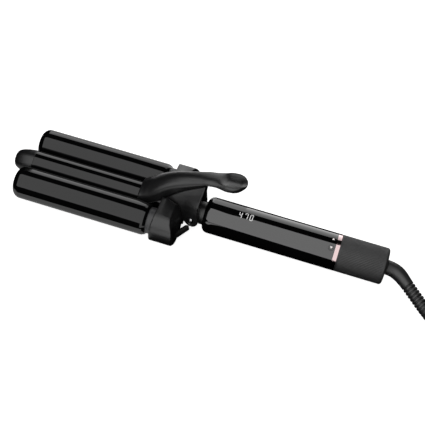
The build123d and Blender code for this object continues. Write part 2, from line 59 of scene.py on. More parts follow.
# ------------------------------------------------------------------- camera
def make_camera():
    cx, dist, elev, tx, tz, roll, focal = 97.5863, 700.0, 0.794294, 15.1706, 2.6579, 0.169701, 920.417
    eye = Vector((cx, -dist * math.cos(elev), dist * math.sin(elev)))
    ahead = (Vector((tx, 0, tz)) - eye).normalized()
    right = ahead.cross(Vector((0, 0, 1))).normalized()
    up = right.cross(ahead)
    r = right * math.cos(roll) + up * math.sin(roll)
    u = -right * math.sin(roll) + up * math.cos(roll)
    half = 0.5 / focal
    ahead = (ahead - r * half + u * half).normalized()
    r = (r - ahead * r.dot(ahead)).normalized()
    u = r.cross(ahead)
    cam = bpy.data.cameras.new("camera")
    ob = bpy.data.objects.new("camera", cam)
    scene.collection.objects.link(ob)
    cam.sensor_width = 36.0
    cam.lens = focal * 36 / 425
    cam.clip_start = 0.01
    cam.clip_end = 30
    m = Matrix((r, u, -ahead)).transposed().to_4x4()
    m.translation = S(*eye)
    ob.matrix_world = m
    scene.camera = ob


make_camera()


# ---------------------------------------------------------------- materials
class Nodes:
    """A material's node tree, with the few links that every material needs."""

    def __init__(self, name):
        self.mat = bpy.data.materials.new(name)
        self.mat.use_nodes = True
        self.tree = self.mat.node_tree
        self.bsdf = self.tree.nodes["Principled BSDF"]
        self.coord = self.tree.nodes.new("ShaderNodeTexCoord")

    def add(self, kind, **sockets):
        n = self.tree.nodes.new(kind)
        for key, value in sockets.items():
            n.inputs[key.replace("_", " ")].default_value = value
        return n

    def link(self, a, b):
        self.tree.links.new(a, b)

    def place(self, scale=(1, 1, 1), turn=(0, 0, 0)):
        m = self.add("ShaderNodeMapping")
        m.inputs["Scale"].default_value = scale
        m.inputs["Rotation"].default_value = turn
        self.link(self.coord.outputs["Object"], m.inputs["Vector"])
        return m.outputs["Vector"]

    def noise(self, scale, detail=3.0, rough=0.55, where=None, distort=0.0):
        n = self.add("ShaderNodeTexNoise", Scale=scale, Detail=detail, Roughness=rough, Distortion=distort)
        self.link(where or self.coord.outputs["Object"], n.inputs["Vector"])
        return n.outputs["Fac"]

    def spread(self, value, low, high, lo_in=0.3, hi_in=0.7):
        m = self.add("ShaderNodeMapRange")
        m.inputs["From Min"].default_value = lo_in
        m.inputs["From Max"].default_value = hi_in
        m.inputs["To Min"].default_value = low
        m.inputs["To Max"].default_value = high
        self.link(value, m.inputs["Value"])
        return m.outputs["Result"]

    def blend(self, fac, a, b):
        m = self.tree.nodes.new("ShaderNodeMix")
        m.data_type = "RGBA"
        m.inputs["A"].default_value = (*a, 1)
        m.inputs["B"].default_value = (*b, 1)
        self.link(fac, m.inputs["Factor"])
        return m.outputs["Result"]

    def math(self, op, a, b):
        m = self.tree.nodes.new("ShaderNodeMath")
        m.operation = op
        for i, v in enumerate((a, b)):
            if isinstance(v, (int, float)):
                m.inputs[i].default_value = v
            else:
                self.link(v, m.inputs[i])
        return m.outputs["Value"]

    def bump(self, height, distance, strength=1.0, under=None):
        b = self.add("ShaderNodeBump", Strength=strength, Distance=distance)
        self.link(height, b.inputs["Height"])
        if under is not None:
            self.link(under, b.inputs["Normal"])
        return b.outputs["Normal"]

    def done(self, colour, rough, normal=None, **consts):
        self.link(colour, self.bsdf.inputs["Base Color"])
        self.link(rough, self.bsdf.inputs["Roughness"])
        if normal is not None:
            self.link(normal, self.bsdf.inputs["Normal"])
        for key, value in consts.items():
            self.bsdf.inputs[key.replace("_", " ")].default_value = value
        return self.mat


def gloss(name, dark, light, rough=(0.02, 0.06), ior=1.5, specks=0.0):
    """Polished black coating: faint wiping marks in the gloss, hardly any relief."""
    n = Nodes(name)
    cloud = n.noise(38, 4, 0.5)
    wipe = n.noise(210, 5, 0.6, n.place((0.12, 1, 1)))
    both = n.math("ADD", n.math("MULTIPLY", cloud, 0.55), n.math("MULTIPLY", wipe, 0.45))
    colour = n.blend(n.spread(both, 0, 1), dark, light)
    fine = n.noise(900, 2, 0.5)
    normal = n.bump(fine, 0.0000012 + specks)
    return n.done(colour, n.spread(both, *rough), normal, IOR=ior)


def matt(name, dark, light, rough=(0.42, 0.54), grain=0.00003, scale=2600, ior=1.5):
    """Moulded matt plastic with a fine spark-eroded grain."""
    n = Nodes(name)
    cloud = n.noise(55, 4, 0.55)
    grains = n.noise(scale, 3, 0.6)
    pits = n.add("ShaderNodeTexVoronoi", Scale=scale * 0.7)
    n.link(n.coord.outputs["Object"], pits.inputs["Vector"])
    height = n.math("ADD", n.math("MULTIPLY", grains, 0.7), n.math("MULTIPLY", pits.outputs["Distance"], 0.4))
    worn = n.math("ADD", n.math("MULTIPLY", cloud, 0.7), n.math("MULTIPLY", grains, 0.3))
    colour = n.blend(n.spread(worn, 0, 1), dark, light)
    return n.done(colour, n.spread(worn, *rough), n.bump(height, grain), IOR=ior)


def rubber(name, dark, light, rough=(0.36, 0.5), scale=1500, grain=0.00002, ior=1.5):
    """Satin PVC with soft flow marks and dust in the fine grain."""
    n = Nodes(name)
    flow = n.noise(70, 5, 0.6, distort=0.6)
    grains = n.noise(scale, 4, 0.65)
    mix = n.math("ADD", n.math("MULTIPLY", flow, 0.6), n.math("MULTIPLY", grains, 0.4))
    colour = n.blend(n.spread(mix, 0, 1), dark, light)
    return n.done(colour, n.spread(mix, *rough), n.bump(grains, grain), IOR=ior)


def brushed(name, dark, light, rough, stretch, turn=(0, 0, 0), relief=0.000004):
    """Metal with fine drawn lines."""
    n = Nodes(name)
    lines = n.noise(900, 6, 0.7, n.place(stretch, turn))
    cloud = n.noise(90, 3, 0.5)
    mix = n.math("ADD", n.math("MULTIPLY", lines, 0.65), n.math("MULTIPLY", cloud, 0.35))
    colour = n.blend(n.spread(mix, 0, 1), dark, light)
    return n.done(colour, n.spread(mix, *rough), n.bump(lines, relief), Metallic=1.0)


def ceramic(name, dark, light, rough=(0.35, 0.5), scale=1400, grain=0.00001):
    n = Nodes(name)
    grains = n.noise(scale, 5, 0.6)
    cloud = n.noise(120, 3, 0.5)
    mix = n.math("ADD", n.math("MULTIPLY", grains, 0.5), n.math("MULTIPLY", cloud, 0.5))
    colour = n.blend(n.spread(mix, 0, 1), dark, light)
    return n.done(colour, n.spread(mix, *rough), n.bump(grains, grain), IOR=1.55)


def board_material():
    """Green solder mask over copper tracks."""
    n = Nodes("circuit_board")
    cells = n.add("ShaderNodeTexVoronoi", Scale=420)
    cells.distance = "MANHATTAN"
    n.link(n.coord.outputs["Object"], cells.inputs["Vector"])
    tracks = n.spread(cells.outputs["Distance"], 0, 1, 0.35, 0.45)
    colour = n.blend(tracks, (0.012, 0.10, 0.035), (0.03, 0.19, 0.07))
    return n.done(colour, n.spread(n.noise(600), 0.25, 0.4), n.bump(tracks, 0.00003), IOR=1.5)


def glow(name, colour, strength):
    """Lit segments, a little uneven, as a diffuser makes them."""
    n = Nodes(name)
    cloud = n.noise(900, 2, 0.5)
    n.link(n.blend(n.spread(cloud, 0, 1), tuple(c * 0.86 for c in colour), colour), n.bsdf.inputs["Emission Color"])
    n.bsdf.inputs["Emission Strength"].default_value = strength
    return n.done(n.blend(n.spread(cloud, 0, 1), (0.5, 0.5, 0.5), (0.6, 0.6, 0.6)), n.spread(cloud, 0.3, 0.4), n.bump(cloud, 0.000002))


HANDLE_BLACK = gloss("handle_gloss_black", (0.0015, 0.0015, 0.0017), (0.003, 0.003, 0.0033), (0.015, 0.05), ior=1.9)
BARREL_BLACK = gloss("barrel_gloss_black", (0.0015, 0.0015, 0.0017), (0.003, 0.003, 0.0032), (0.02, 0.06), ior=1.5)
BUTTON_BLACK = gloss("button_gloss_black", (0.002, 0.002, 0.002), (0.004, 0.004, 0.004), (0.03, 0.08), ior=1.8)
MATT_BLACK = matt("soft_matt_black", (0.0075, 0.0075, 0.0078), (0.0115, 0.0115, 0.012), (0.31, 0.38), ior=1.69)
TIP_BLACK = matt("tip_matt_black", (0.006, 0.006, 0.0063), (0.010, 0.010, 0.0105), (0.28, 0.36), scale=2200, ior=1.64)
NECK_BLACK = matt("neck_matt_black", (0.010, 0.010, 0.010), (0.016, 0.016, 0.0165), (0.34, 0.44), ior=1.7)
GRIP_BLACK = matt("grip_matt_black", (0.006, 0.006, 0.0064), (0.010, 0.010, 0.0105), (0.54, 0.64), scale=3000, ior=1.98)
COLLAR_GREY = ceramic("collar_satin_grey", (0.045, 0.045, 0.047), (0.07, 0.07, 0.073))
ROSE_GOLD = brushed("rose_gold", (0.60, 0.455, 0.455), (0.68, 0.535, 0.54), (0.10, 0.18), (1, 0.05, 0.05), relief=0.000001)
STEEL = brushed("zinc_steel", (0.42, 0.42, 0.43), (0.62, 0.62, 0.64), (0.22, 0.36), (0.1, 1, 1))
SCREW_STEEL = brushed("polished_steel", (0.40, 0.40, 0.41), (0.52, 0.52, 0.53), (0.16, 0.24), (1, 1, 1), relief=0.000001)
BRASS = brushed("brass", (0.72, 0.52, 0.22), (0.85, 0.65, 0.32), (0.18, 0.32), (0.08, 1, 1))
ALUMINIUM = brushed("cast_aluminium", (0.56, 0.56, 0.58), (0.7, 0.7, 0.72), (0.3, 0.45), (0.2, 1, 1))
HEATER_WHITE = ceramic("heater_ceramic", (0.70, 0.69, 0.65), (0.83, 0.82, 0.78), (0.55, 0.7))
NYLON = matt("nylon", (0.42, 0.42, 0.40), (0.52, 0.52, 0.50), (0.4, 0.5))
PART_BLACK = matt("component_black", (0.016, 0.016, 0.016), (0.03, 0.03, 0.03), (0.4, 0.5))
DISPLAY_BLACK = gloss("display_black", (0.006, 0.006, 0.006), (0.012, 0.012, 0.012), (0.05, 0.12), ior=1.5)
BOARD = board_material()
RELIEF_BLACK = rubber("relief_satin_black", (0.009, 0.009, 0.0093), (0.015, 0.015, 0.0155), (0.40, 0.52), ior=1.85)
CORD_BLACK = rubber("lead_satin_black", (0.012, 0.012, 0.0125), (0.021, 0.021, 0.022), (0.34, 0.46))
PLUG_BLACK = rubber("plug_satin_black", (0.013, 0.013, 0.013), (0.024, 0.024, 0.025), (0.4, 0.54), scale=2200)
SLEEVE_BLACK = rubber("sleeve_satin_black", (0.008, 0.008, 0.008), (0.015, 0.015, 0.015), (0.36, 0.5))
WIRE_GREY = rubber("wire_grey", (0.10, 0.10, 0.10), (0.17, 0.17, 0.17), (0.3, 0.4))
LIT = glow("lit_digit", (1.0, 1.0, 1.0), 0.5)


def strap_material():
    """Woven tie: crossing ribs with a soft nap."""
    n = Nodes("woven_tie")
    a = n.add("ShaderNodeTexWave", Scale=420, Distortion=0.4)
    b = n.add("ShaderNodeTexWave", Scale=420, Distortion=0.4)
    n.link(n.place((1, 1, 1), (0, 0, math.radians(60))), a.inputs["Vector"])
    n.link(n.place((1, 1, 1), (0, 0, math.radians(150))), b.inputs["Vector"])
    weave = n.math("MULTIPLY", a.outputs["Fac"], b.outputs["Fac"])
    nap = n.noise(2400, 3, 0.6)
    colour = n.blend(n.spread(weave, 0, 1, 0, 1), (0.008, 0.008, 0.009), (0.03, 0.03, 0.032))
    return n.done(colour, n.spread(nap, 0.7, 0.9), n.bump(n.math("ADD", weave, n.math("MULTIPLY", nap, 0.4)), 0.0001), IOR=1.45)


def mark_with_painted_glow_material():
    """Printed button mark, slightly broken up by its grain, with a painted glow: its emission brightens the print,
    which is no lamp.
    """
    n = Nodes("printed_mark_with_painted_glow")
    grain = n.noise(2600, 3, 0.6)
    colour = n.blend(n.spread(grain, 0, 1), (0.62, 0.58, 0.56), (0.74, 0.70, 0.68))
    # painted glow: the emission makes the printed mark brighter than its lighting would; the mark is no lamp
    n.link(colour, n.bsdf.inputs["Emission Color"])
    n.bsdf.inputs["Emission Strength"].default_value = 0.7
    return n.done(colour, n.spread(grain, 0.35, 0.5), n.bump(grain, 0.000004))


STRAP = strap_material()
MARK_WITH_PAINTED_GLOW = mark_with_painted_glow_material()


def paint(names, material):
    for name in names:
        data = nodes[name].data
        data.materials.clear()
        data.materials.append(material)


paint(["handle_shell"], HANDLE_BLACK)
paint(["front_barrel", "back_barrel", "centre_barrel"], BARREL_BLACK)
paint(["up_button", "down_button"], BUTTON_BLACK)
paint(["neck"], NECK_BLACK)
paint(["front_collar", "back_collar"], COLLAR_GREY)
paint(["trim_ring"], ROSE_GOLD)
paint(["lever_screws", "bracket_screws", "board_screws", "clamp_spring", "spring_leg", "hinge_pin"], STEEL)
paint(["plug_blades"], BRASS)
paint(["front_heat_blocks", "back_heat_blocks", "centre_heat_blocks"], ALUMINIUM)
paint(["front_heater", "back_heater", "centre_heater"], HEATER_WHITE)
paint(["chassis", "swivel_bush"], NYLON)
paint(["power_parts", "tact_switches"], PART_BLACK)
paint(["display_module"], DISPLAY_BLACK)
paint(["control_board"], BOARD)


# ---------------------------------------------------------------- mesh tools
def new_object(name, mesh, material, body, replaces=()):
    ob = bpy.data.objects.new(name, mesh)
    scene.collection.objects.link(ob)
    mesh.materials.clear()
    mesh.materials.append(material)
    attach(ob, body)
    if replaces:
        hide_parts(*replaces)
    return ob


def add_modifier(ob, kind, **settings):
    m = ob.modifiers.new(kind.lower(), kind)
    for key, value in settings.items():
        setattr(m, key, value)
    return m


def settle(ob):
    """The modifiers' result becomes the object's mesh."""
    dg = bpy.context.evaluated_depsgraph_get()
    data = bpy.data.meshes.new_from_object(ob.evaluated_get(dg), depsgraph=dg)
    ob.modifiers.clear()
    ob.data = data
    for p in data.polygons:
        p.use_smooth = True


def rings_mesh(name, rings, ends="fan", around=True):
    """Quads between matching rings of points (shared frame). ends is fan, open or
    loop, where the last ring joins the first."""
    bm = bmesh.new()
    rows = [[bm.verts.new(p) for p in ring] for ring in rings]
    n = len(rows[0])
    pairs = list(zip(rows, rows[1:]))
    if ends == "loop":
        pairs.append((rows[-1], rows[0]))
    for a, b in pairs:
        for i in range(n if around else n - 1):
            j = (i + 1) % n
            bm.faces.new((a[i], a[j], b[j], b[i]))
    if ends == "fan":
        for row in (rows[0], rows[-1]):
            mid = bm.verts.new(sum((v.co for v in row), Vector()) / n)
            for i in range(n):
                bm.faces.new((row[i], row[(i + 1) % n], mid))
    bmesh.ops.recalc_face_normals(bm, faces=bm.faces)
    mesh = bpy.data.meshes.new(name)
    bm.to_mesh(mesh)
    bm.free()
    for p in mesh.polygons:
        p.use_smooth = True
    return mesh


def catmull(points, steps):
    """Smooth line through the points, steps to a span."""
    vs = [Vector(p) for p in points]
    vs = [vs[0] * 2 - vs[1]] + vs + [vs[-1] * 2 - vs[-2]]
    out = []
    for k in range(1, len(vs) - 2):
        a, b, c, d = vs[k - 1:k + 3]
        for i in range(steps):
            t = i / steps
            out.append(0.5 * ((2 * b) + (c - a) * t + (2 * a - 5 * b + 4 * c - d) * t ** 2 + (3 * b - a - 3 * c + d) * t ** 3))
    out.append(vs[-2])
    return out


def table_curve(table):
    """Smooth reading of a table of rows (x, values...) by a cubic through them,
    kept from overshooting."""
    xs = [row[0] for row in table]
    cols = list(zip(*[row[1:] for row in table]))

    def slopes(ys):
        d = [(ys[i + 1] - ys[i]) / (xs[i + 1] - xs[i]) for i in range(len(xs) - 1)]
        m = [d[0]]
        for i in range(1, len(d)):
            if d[i - 1] * d[i] <= 0:
                m.append(0.0)
            else:
                h0, h1 = xs[i] - xs[i - 1], xs[i + 1] - xs[i]
                w0, w1 = 2 * h1 + h0, h1 + 2 * h0
                m.append((w0 + w1) / (w0 / d[i - 1] + w1 / d[i]))
        m.append(d[-1])
        return m

    ms = [slopes(c) for c in cols]

    def at(x):
        x = min(max(x, xs[0]), xs[-1])
        k = max(i for i in range(len(xs) - 1) if xs[i] <= x)
        h = xs[k + 1] - xs[k]
        t = (x - xs[k]) / h
        out = []
        for ys, m in zip(cols, ms):
            out.append(ys[k] * (1 + 2 * t) * (1 - t) ** 2 + h * m[k] * t * (1 - t) ** 2 + ys[k + 1] * t * t * (3 - 2 * t) + h * m[k + 1] * t * t * (t - 1))
        return out

    return at


def lathe(name, profile, y=0.0, z=0.0, turns=96, ends="fan", shape=None):
    """Surface of revolution round the line y, z along X; profile rows are (x, r).
    shape(x, r, angle) may change the radius."""
    rings = []
    for x, r in profile:
        ring = []
        for i in range(turns):
            a = 2 * math.pi * i / turns
            q = shape(x, r, a) if shape else r
            ring.append(S(x, y - q * math.cos(a), z + q * math.sin(a)))
        rings.append(ring)
    return rings_mesh(name, rings, ends)


def sweep(name, line, radius, sides=32, ends="fan"):
    """Tube along a line of points (modelling frame); radius(s) in millimetres of
    its length s."""
    up = Vector((0, 0, 1))
    rings, s = [], 0.0
    for k, p in enumerate(line):
        a, b = line[max(0, k - 1)], line[min(len(line) - 1, k + 1)]
        t = (b - a).normalized()
        side = t.cross(up).normalized()
        top = side.cross(t)
        if k:
            s += (p - line[k - 1]).length
        q = radius(s)
        rings.append([S(*(p + side * q * math.cos(2 * math.pi * i / sides) + top * q * math.sin(2 * math.pi * i / sides))) for i in range(sides)])
    return rings_mesh(name, rings, ends)


# --------------------------------------------- the pin's screws, domed and slotted
def pin_screw(side, name):
    line = [Vector((1.2, side * y, 0)) for y in (8.0, 12.68)]
    line += [Vector((1.2, side * (12.72 + 0.86 * k / 16), 0)) for k in range(17)]

    def radius(s):
        if s < 4.7:
            return 0.9
        t = min(1.0, (s - 4.72) / 0.86)
        return max(0.04, 2.48 * math.sqrt(1 - t ** 1.15))

    ob = new_object(name, sweep(name, line, radius, 48), SCREW_STEEL, "body", ["pin_screws"])
    cutter = bpy.data.meshes.new(name + "_slot")
    xs, ys, zs = (1.2 - 3.2, 1.2 + 3.2), (side * 13.32, side * 14.2), (-0.26, 0.26)
    cutter.from_pydata([S(x, y, z) for x in xs for y in ys for z in zs], [],
                       [(0, 1, 3, 2), (4, 6, 7, 5), (0, 4, 5, 1), (2, 3, 7, 6), (0, 2, 6, 4), (1, 5, 7, 3)])
    tool = bpy.data.objects.new(name + "_slot", cutter)
    scene.collection.objects.link(tool)
    bpy.context.view_layer.update()
    add_modifier(ob, "BOOLEAN", object=tool, operation="DIFFERENCE", solver="EXACT")
    bpy.context.view_layer.update()
    settle(ob)
    bpy.data.objects.remove(tool)
    bpy.data.meshes.remove(cutter)


pin_screw(-1, "pin_screw_front")
pin_screw(1, "pin_screw_back")

# ------------------------------------------------------------------ the lead
RELIEF_END = Vector((193.9, -29.6, -9.35))
RELIEF_DIR = Vector((0.699, -0.715, -0.021))
CORD_D = 6.8
COIL_X, COIL_Y = 254.9, -24.6
SWING_X, SWING_Y = 250.0, -28.1
ENTRY = 227.9
BOTTOM_Z, TOP_Z, TAIL_Z = -9.8, -2.8, -2.75


def coil_place(a):
    """Radius and height of the wound lead, a degrees after it joins the coil:
    three turns inwards on the surface, over itself, and three turns outwards."""
    if a < 990:
        r = 48.5 - 7 * smooth((a - 270) / 90) - 7 * smooth((a - 630) / 90)
        return r, BOTTOM_Z
    if a < 1080:
        s = smooth((a - 990) / 90)
        over = 41.5 - 7 * s
        return over - 7 * math.cos(math.radians(90 * s)), BOTTOM_Z + 7 * math.sin(math.radians(90 * s))
    r = 34.5 + 7 * smooth((a - 1290) / 120) + 7 * smooth((a - 1650) / 120)
    return r, TOP_Z


def round_point(cx, cy, degrees, r, z):
    t = math.radians(degrees)
    return (cx + r * math.cos(t), cy + r * math.sin(t), z)


route = [tuple(RELIEF_END), tuple(RELIEF_END + RELIEF_DIR * 14.0), (211.4, -50.6, -10.7)]
# turns of the coil, fifteen points to a turn
for k in range(83):
    a = 12 + 24 * k
    r, z = coil_place(a)
    route.append(round_point(COIL_X, COIL_Y, ENTRY + a, r * 1.0222, z))
# the last turn lies on the others and ends in the plug
for degrees, r, dz in ((62, 48.3, 0.4), (80, 47.8, 3.0), (98, 46.4, 5.6), (117, 45.6, 6.8), (137, 45.5, 7.0), (158, 45.7, 7.0),
                       (178, 45.4, 7.0), (197, 45.6, 7.0), (216, 45.3, 7.0)):
    route.append(round_point(COIL_X, COIL_Y, degrees, r, TAIL_Z + dz))
for degrees, r, dz in ((237, 39.9, 7.0), (257, 40.1, 7.1), (277, 39.8, 7.7), (297, 40.0, 8.9), (317, 39.8, 10.8), (336, 39.7, 12.5)):
    route.append(round_point(SWING_X, SWING_Y, degrees, r, TAIL_Z + dz))

curve = bpy.data.curves.new("lead", "CURVE")
curve.dimensions = "3D"
spline = curve.splines.new("NURBS")
spline.points.add(len(route) - 1)
for point, place in zip(spline.points, route):
    point.co = (*S(*place), 1.0)
spline.order_u = 3
spline.use_endpoint_u = True
spline.resolution_u = 8
curve.bevel_depth = CORD_D / 2000
curve.bevel_resolution = 6
curve.use_fill_caps = True
lead = bpy.data.objects.new("lead", curve)
scene.collection.objects.link(lead)
curve.materials.append(CORD_BLACK)
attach(lead, "body")
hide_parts("cord_tube", "cord_coil", "cord_tail")

# ------------------------------------------------------------ strain relief
relief_line = catmull([(151.1, 0, 0), (155, -0.1, -0.35), (159, -0.75, -1.0), (163, -2.45, -2.0), (167, -5.4, -3.25), (172, -9.6, -4.9),
                       (178.3, -14.9, -7.0), (184.5, -20.3, -8.75), (189, -24.7, -9.25), (193.9, -29.6, -9.35)], 28)
RIB_START, RIB_PITCH = 22.4, 2.72


def relief_radius(s):
    if s < 1.2:
        return 5.9 - 0.25 * smooth(s / 1.2)
    base = 5.65 - 0.75 * smooth((s - 9.0) / 13.0)
    if s > RIB_START and s < RIB_START + 11 * RIB_PITCH:
        f = ((s - RIB_START) / RIB_PITCH) % 1.0
        groove = smooth(f / 0.16) * (1 - smooth((f - 0.34) / 0.16))
        return base - 0.72 * groove - 0.10 * smooth((s - 22) / 30)
    if s > 53.0:
        return base - 0.12 - 0.9 * smooth((s - 53.0) / 2.2)
    return base - 0.10 * smooth((s - 22) / 30)


new_object("strain_relief_sleeve", sweep("strain_relief_sleeve", relief_line, relief_radius, 48), RELIEF_BLACK, "body", ["strain_relief"])


# ---------------------------------------------------------------- end grip
def flute(x, r, a):
    if r < 13.0 or x > 149.6:
        return r
    ease = smooth((x - 115.0) / 0.8) * smooth((149.5 - x) / 0.8)
    return r - 0.16 * ease * (0.5 - 0.5 * math.cos(72 * a)) ** 1.6


grip_profile = [(114.35, 12.15), (114.35, 13.85), (114.55, 14.05), (114.95, 14.1), (115.3, 14.1), (115.9, 14.1)]
grip_profile += [(116.5 + 1.6 * k, 14.1) for k in range(20)]
grip_profile += [(148.6, 14.1), (149.1, 14.1), (149.5, 14.08), (149.95, 13.95), (150.35, 13.7), (150.7, 13.35), (150.95, 12.9), (151.08, 12.4), (151.1, 11.8),
                 (151.1, 9.0), (150.9, 8.6), (150.7, 7.6), (150.7, 6.6), (150.9, 6.1), (151.0, 5.4), (150.9, 4.5), (150.5, 4.25), (148.6, 4.25), (148.5, 4.6), (148.5, 8.0), (148.5, 11.9), (148.2, 12.15)]
new_object("fluted_grip", lathe("fluted_grip", grip_profile, turns=720, ends="loop", shape=flute), GRIP_BLACK, "body", ["end_grip"])

# ---------------------------------------------------------------- cool tip
tip_profile = [(-130.0, 8.8), (-130.0, 9.8), (-130.15, 9.95), (-130.5, 9.98), (-131.5, 9.93), (-133.8, 9.72), (-136.0, 9.42), (-138.2, 9.02), (-140.4, 8.5),
               (-142.2, 7.95), (-143.6, 7.35), (-144.7, 6.65), (-145.5, 5.85), (-145.95, 5.0), (-146.12, 4.1), (-146.18, 2.6), (-146.2, 1.2), (-146.2, 0.3)]
tip_profile = [(-122.2, 0.4), (-122.0, 6.0), (-122.0, 8.5), (-122.2, 8.7), (-129.9, 8.72)] + tip_profile
new_object("cool_tip_nose", lathe("cool_tip_nose", tip_profile, turns=96), TIP_BLACK, "body", ["cool_tip"])

# ------------------------------------------------------------------- lever
# A hood over the centre barrel that narrows to an arch and ends in a thumb paddle.
# x, half width, bottom of the sides, top of the sides, rise of the arch, its power,
# depth of the thumb dish, height of the underside's middle, thickness of the sides
LEVER = [
    (-42.6, 11.3, 3.7, 4.7, 8.4, 2.0, 0.0, 11.0, 1.3),
    (-40.0, 11.3, 3.7, 5.3, 9.7, 2.0, 0.0, 12.9, 1.4),
    (-36.0, 11.3, 3.9, 7.3, 11.3, 2.0, 0.0, 15.5, 1.5),
    (-32.0, 11.2, 4.8, 10.9, 11.0, 2.0, 0.0, 18.2, 1.7),
    (-28.0, 10.7, 6.9, 15.0, 9.9, 2.0, 0.0, 20.9, 1.9),
    (-24.0, 9.9, 9.6, 18.8, 8.7, 2.0, 0.0, 23.0, 2.0),
    (-20.0, 9.2, 13.8, 21.7, 8.0, 2.0, 0.0, 25.2, 2.0),
    (-16.0, 8.65, 17.8, 24.0, 7.6, 2.0, 0.0, 27.2, 2.0),
    (-12.0, 8.25, 21.0, 26.0, 7.25, 2.0, 0.0, 28.9, 2.0),
    (-8.0, 7.9, 23.8, 27.85, 6.85, 2.0, 0.0, 30.4, 2.0),
    (-4.0, 7.6, 26.3, 29.65, 6.35, 2.05, 0.0, 31.7, 2.0),
    (0.0, 7.35, 28.7, 31.7, 5.5, 2.1, 0.0, 33.0, 2.0),
    (4.0, 7.15, 31.1, 33.7, 4.55, 2.2, 0.0, 34.2, 2.0),
    (8.0, 7.1, 33.6, 35.5, 3.6, 2.4, 0.0, 35.4, 2.0),
    (12.0, 7.35, 35.3, 35.9, 3.9, 2.5, 0.0, 36.4, 2.0),
    (16.0, 7.8, 36.1, 36.8, 3.8, 2.5, 0.2, 36.8, 2.0),
    (20.0, 8.75, 36.3, 37.8, 3.75, 2.6, 1.7, 36.6, 1.8),
    (24.0, 9.7, 36.6, 38.9, 3.4, 2.6, 3.5, 36.6, 1.8),
    (28.0, 9.8, 37.2, 39.4, 3.3, 2.6, 3.6, 37.0, 1.8),
    (32.0, 8.5, 37.8, 40.1, 2.9, 2.6, 3.0, 37.8, 1.6),
    (35.0, 5.7, 38.8, 40.9, 1.7, 2.4, 1.5, 38.9, 1.4),
    (36.9, 2.4, 39.7, 41.0, 0.7, 2.2, 0.3, 40.0, 0.7),
]
LEVER_X0, LEVER_X1 = -42.75, 37.2
lever_rows = table_curve([(row[0], *row[2:]) for row in LEVER])
lever_width = table_curve([(row[0], row[1] ** 2) for row in LEVER] + [(LEVER_X1, 0.0)])


def lever_ring(x, wall=7, arch=26):
    """Outside from one lower edge over the top to the other, then back underneath."""
    zb, zo, rise, power, dish, zu, side = lever_rows(max(x, LEVER[0][0]))
    w = math.sqrt(max(1e-4, lever_width(max(x, LEVER[0][0]))[0]))
    side = min(side, 0.4 * w)
    wi = max(w - side - 0.3, 0.3 * w)
    zi = min(zo, zu - 1.0) if x < 6 else zb + (zu - zb) * 0.3
    if 2 < x < 10:
        k = smooth((x - 2) / 8)
        zi = min(zo, zu - 1.0) * (1 - k) + (zb + (zu - zb) * 0.3) * k
    outer, inner = [], []
    for i in range(wall):
        k = i / wall
        outer.append((w, zb + (zo - zb) * k))
        inner.append((w - side - 0.3 * k, zb + (zi - zb) * k))
    for i in range(arch + 1):
        a = 0.5 * math.pi * i / arch
        c, d = max(math.cos(a), 0.0), math.sin(a)
        f, g = c ** (2 / power), d ** (2 / power)
        bowl = max(0.0, 1 - (f / 0.8) ** 2)
        outer.append((w * f, zo + rise * g - dish * bowl * min(1.0, 0.7 + bowl)))
        inner.append((wi * c, zi + (zu - zi) * d))
    top = max(z for y, z in outer)
    outer = [(y, z - 0.3 * smooth((x - 12) / 8) * smooth((z - top + 2) / 2)) for y, z in outer]
    # rounded lower edges and a rounded front end
    edge = 0.55
    pull = 0.9 * smooth((x + 14) / 8) * (1 - smooth((x - 10) / 5)) * min(1.0, (zo - zb) / 2.0)
    for i in range(wall):
        outer[i] = (outer[i][0] - pull * (1 - i / wall) ** 1.7, outer[i][1])
    for rows_, other in ((outer, inner), (inner, outer)):
        for i in range(len(rows_)):
            y, z = rows_[i]
            up = z - zb
            if up < edge and i < wall:
                q = 1 - math.sqrt(max(0.0, 1 - (1 - up / edge) ** 2))
                my = (rows_[i][0] + other[i][0]) / 2
                rows_[i] = (y + (my - y) * 0.75 * q, z)
    near = min(x - LEVER_X0, LEVER_X1 - x)
    end = 0.7 if x < 0 else 1.1
    close = math.sqrt(max(0.02, 1 - (1 - near / end) ** 2)) if near < end else 1.0
    if close < 1.0:
        for i in range(len(outer)):
            my, mz = (outer[i][0] + inner[i][0]) / 2, (outer[i][1] + inner[i][1]) / 2
            outer[i] = (my + (outer[i][0] - my) * close, mz + (outer[i][1] - mz) * close)
            inner[i] = (my + (inner[i][0] - my) * close, mz + (inner[i][1] - mz) * close)
    ring = [(-y, z) for y, z in outer] + [(y, z) for y, z in reversed(outer[:-1])]
    ring += inner + [(-y, z) for y, z in reversed(inner[:-1])]
    return [S(x, y, z) for y, z in ring]


stations = [LEVER_X0 + d for d in (0.01, 0.06, 0.16, 0.32, 0.52, 0.75, 1.1)]
for k in range(118):
    u = (k + 1) / 119
    stations.append(stations[6] + (LEVER_X1 - 1.6 - stations[6]) * u)
stations += [LEVER_X1 - d for d in (1.6, 1.3, 1.05, 0.82, 0.62, 0.44, 0.29, 0.17, 0.08, 0.03)]


def strip_cap(bm, ring, flip):
    """Closes the thin open-mouthed section between its outside and underside."""
    n = len(ring)
    half = n // 2
    for i in range(half - 1):
        quad = (ring[i], ring[i + 1], ring[n - 2 - i], ring[n - 1 - i])
        bm.faces.new(quad if flip else tuple(reversed(quad)))


lever_mesh = bpy.data.meshes.new("thumb_lever")
bm = bmesh.new()
grid = [[bm.verts.new(p) for p in lever_ring(x)] for x in stations]
count = len(grid[0])
for low, high in zip(grid, grid[1:]):
    for i in range(count):
        j = (i + 1) % count
        bm.faces.new((low[i], low[j], high[j], high[i]))
strip_cap(bm, grid[0], True)
strip_cap(bm, grid[-1], False)
bmesh.ops.recalc_face_normals(bm, faces=bm.faces)
bm.to_mesh(lever_mesh)
bm.free()
lever = new_object("thumb_lever", lever_mesh, MATT_BLACK, "clamp", ["lever"])
add_modifier(lever, "SUBSURF", levels=1, render_levels=1)
settle(lever)


